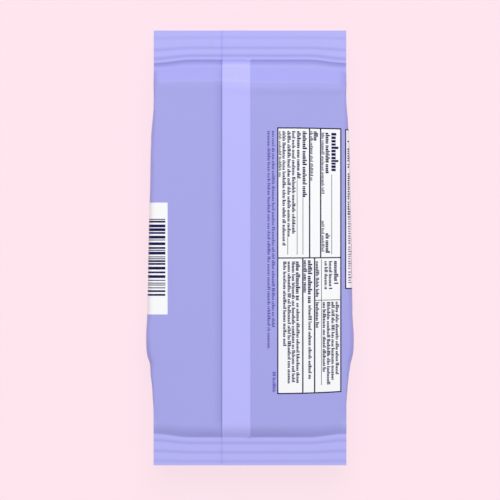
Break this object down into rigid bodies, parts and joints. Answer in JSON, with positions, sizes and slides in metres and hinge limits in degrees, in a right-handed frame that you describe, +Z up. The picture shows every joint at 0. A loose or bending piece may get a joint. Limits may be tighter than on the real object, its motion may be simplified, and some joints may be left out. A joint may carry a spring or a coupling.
{
  "type": "wet wipes pack",
  "caption": "Flat sealed film pack of wet wipes lying on its front: ribbed end seals, tucked sides, a fin seal folded over along the back and a peel-and-reseal flap on the front.",
  "frame": {"origin": "on the table, under the middle of the pack's outline", "axes": "+Z up out of the pack's back, +Y along the pack towards the end with the longer slope, +X across it to the side away from the fin"},
  "size_m": [0.0932, 0.195, 0.0188],
  "materials": {
    "film": "satin lilac film",
    "flap": "satin paler lilac film"
  },
  "bodies": {
    "root": {"sealed_pack": "film", "reseal_flap": "flap"}
  },
  "joints": []
}
